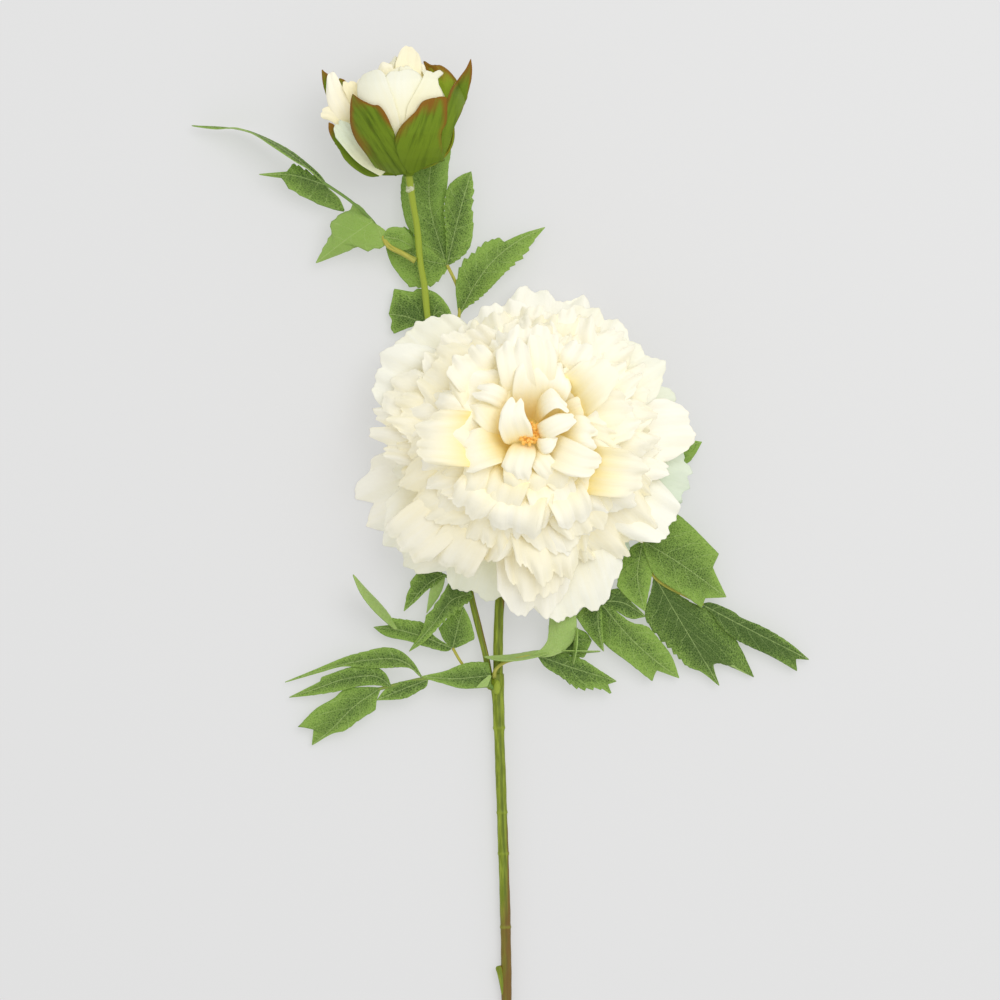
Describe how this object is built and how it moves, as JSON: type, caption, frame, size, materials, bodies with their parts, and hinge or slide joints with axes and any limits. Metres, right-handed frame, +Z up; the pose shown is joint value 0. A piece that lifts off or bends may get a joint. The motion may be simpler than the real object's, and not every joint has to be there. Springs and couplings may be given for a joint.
{
  "type": "artificial peony stem",
  "caption": "Artificial peony stem lying flat: a long plastic stem with a full open cream bloom, a half-open bud on a side stem and lobed compound leaves.",
  "frame": {"origin": "flat on the underside of the main stem where it bends up into the bloom, on the surface that the stem lies on", "axes": "+Y along the stem from its cut end towards the bloom and the bud, +Z up out of the surface, +X to the right of the stem seen from above"},
  "size_m": [0.2855, 0.5168, 0.0885],
  "materials": {
    "stem": "satin moulded plastic over a wire core, olive green with a brown streak",
    "collar": "satin yellow-green plastic",
    "sepal": "matt printed fabric, russet at the edges",
    "petal": "matt thin fabric, cream white, golden towards the base",
    "stamen": "matt orange yellow",
    "leaf": "matt printed fabric with pressed veins, yellow stalks"
  },
  "bodies": {
    "root": {"main_stem": "stem", "fork_collar": "collar", "bud_stem": "stem", "bloom_calyx": "sepal", "bloom_petals": "petal", "bloom_stamens": "stamen", "bud_petals": "petal", "bud_sepals": "sepal", "leaf_upper_left": "leaf", "leaf_upper_back": "leaf", "leaf_upper_low": "leaf", "leaf_right_small": "leaf", "leaf_right": "leaf", "leaf_front_right": "leaf", "leaf_lower_left": "leaf", "leaf_mid_left": "leaf", "leaf_under_bloom": "leaf"}
  },
  "joints": []
}
